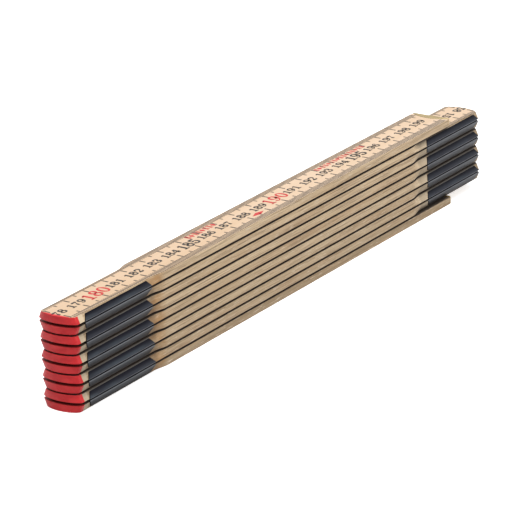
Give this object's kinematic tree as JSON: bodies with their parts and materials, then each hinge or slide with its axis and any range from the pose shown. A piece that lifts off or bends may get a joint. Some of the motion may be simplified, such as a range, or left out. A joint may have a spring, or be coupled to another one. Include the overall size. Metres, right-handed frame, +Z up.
{
  "type": "folding rule",
  "caption": "Two-metre wooden folding rule, folded flat: hinged birch blades with concealed joints in blued steel housings, red tips and brass end caps.",
  "frame": {"origin": "on the resting plane, under the middle of the folded rule, halfway between the two lines of pivots", "axes": "+X along the blades, from the end with red tips to the end where the scale starts and stops; +Y across the blades; +Z up, from the zero blade to the last blade"},
  "size_m": [0.2432, 0.015, 0.0314],
  "materials": {
    "birch": "sanded, thinly lacquered birch with printed scales",
    "blued_steel": "blued spring steel, satin",
    "rivet_steel": "plain turned steel",
    "spring_steel": "tempered spring steel",
    "brass": "satin brass, slightly tarnished"
  },
  "bodies": {
    "leaf_01": {"blade_01": "birch", "joint_1_lower_housing": "blued_steel", "zero_end_cap": "brass"},
    "leaf_02": {"blade_02": "birch", "joint_2_lower_housing": "blued_steel", "joint_1_upper_housing": "blued_steel", "joint_1_lock_spring": "spring_steel", "joint_1_pivot_rivet": "rivet_steel"},
    "leaf_03": {"blade_03": "birch", "joint_3_lower_housing": "blued_steel", "joint_2_upper_housing": "blued_steel", "joint_2_lock_spring": "spring_steel", "joint_2_pivot_rivet": "rivet_steel"},
    "leaf_04": {"blade_04": "birch", "joint_4_lower_housing": "blued_steel", "joint_3_upper_housing": "blued_steel", "joint_3_lock_spring": "spring_steel", "joint_3_pivot_rivet": "rivet_steel"},
    "leaf_05": {"blade_05": "birch", "joint_5_lower_housing": "blued_steel", "joint_4_upper_housing": "blued_steel", "joint_4_lock_spring": "spring_steel", "joint_4_pivot_rivet": "rivet_steel"},
    "leaf_06": {"blade_06": "birch", "joint_6_lower_housing": "blued_steel", "joint_5_upper_housing": "blued_steel", "joint_5_lock_spring": "spring_steel", "joint_5_pivot_rivet": "rivet_steel"},
    "leaf_07": {"blade_07": "birch", "joint_7_lower_housing": "blued_steel", "joint_6_upper_housing": "blued_steel", "joint_6_lock_spring": "spring_steel", "joint_6_pivot_rivet": "rivet_steel"},
    "leaf_08": {"blade_08": "birch", "joint_8_lower_housing": "blued_steel", "joint_7_upper_housing": "blued_steel", "joint_7_lock_spring": "spring_steel", "joint_7_pivot_rivet": "rivet_steel"},
    "leaf_09": {"blade_09": "birch", "joint_9_lower_housing": "blued_steel", "joint_8_upper_housing": "blued_steel", "joint_8_lock_spring": "spring_steel", "joint_8_pivot_rivet": "rivet_steel"},
    "leaf_10": {"blade_10": "birch", "joint_9_upper_housing": "blued_steel", "joint_9_lock_spring": "spring_steel", "joint_9_pivot_rivet": "rivet_steel", "top_end_cap": "brass"}
  },
  "joints": [
    {"name": "joint_1_fold", "type": "hinge", "parent": "leaf_01", "child": "leaf_02", "pos_m": [-0.1, 0, 0.0029], "axis": [0, 0, -1], "range_deg": [-180, 180]},
    {"name": "joint_2_fold", "type": "hinge", "parent": "leaf_02", "child": "leaf_03", "pos_m": [0.1, 0, 0.0061], "axis": [0, 0, 1], "range_deg": [-180, 180]},
    {"name": "joint_3_fold", "type": "hinge", "parent": "leaf_03", "child": "leaf_04", "pos_m": [-0.1, 0, 0.0093], "axis": [0, 0, -1], "range_deg": [-180, 180]},
    {"name": "joint_4_fold", "type": "hinge", "parent": "leaf_04", "child": "leaf_05", "pos_m": [0.1, 0, 0.0125], "axis": [0, 0, 1], "range_deg": [-180, 180]},
    {"name": "joint_5_fold", "type": "hinge", "parent": "leaf_05", "child": "leaf_06", "pos_m": [-0.1, 0, 0.0157], "axis": [0, 0, -1], "range_deg": [-180, 180]},
    {"name": "joint_6_fold", "type": "hinge", "parent": "leaf_06", "child": "leaf_07", "pos_m": [0.1, 0, 0.0189], "axis": [0, 0, 1], "range_deg": [-180, 180]},
    {"name": "joint_7_fold", "type": "hinge", "parent": "leaf_07", "child": "leaf_08", "pos_m": [-0.1, 0, 0.0221], "axis": [0, 0, -1], "range_deg": [-180, 180]},
    {"name": "joint_8_fold", "type": "hinge", "parent": "leaf_08", "child": "leaf_09", "pos_m": [0.1, 0, 0.0253], "axis": [0, 0, 1], "range_deg": [-180, 180]},
    {"name": "joint_9_fold", "type": "hinge", "parent": "leaf_09", "child": "leaf_10", "pos_m": [-0.1, 0, 0.0285], "axis": [0, 0, -1], "range_deg": [-180, 180]}
  ]
}
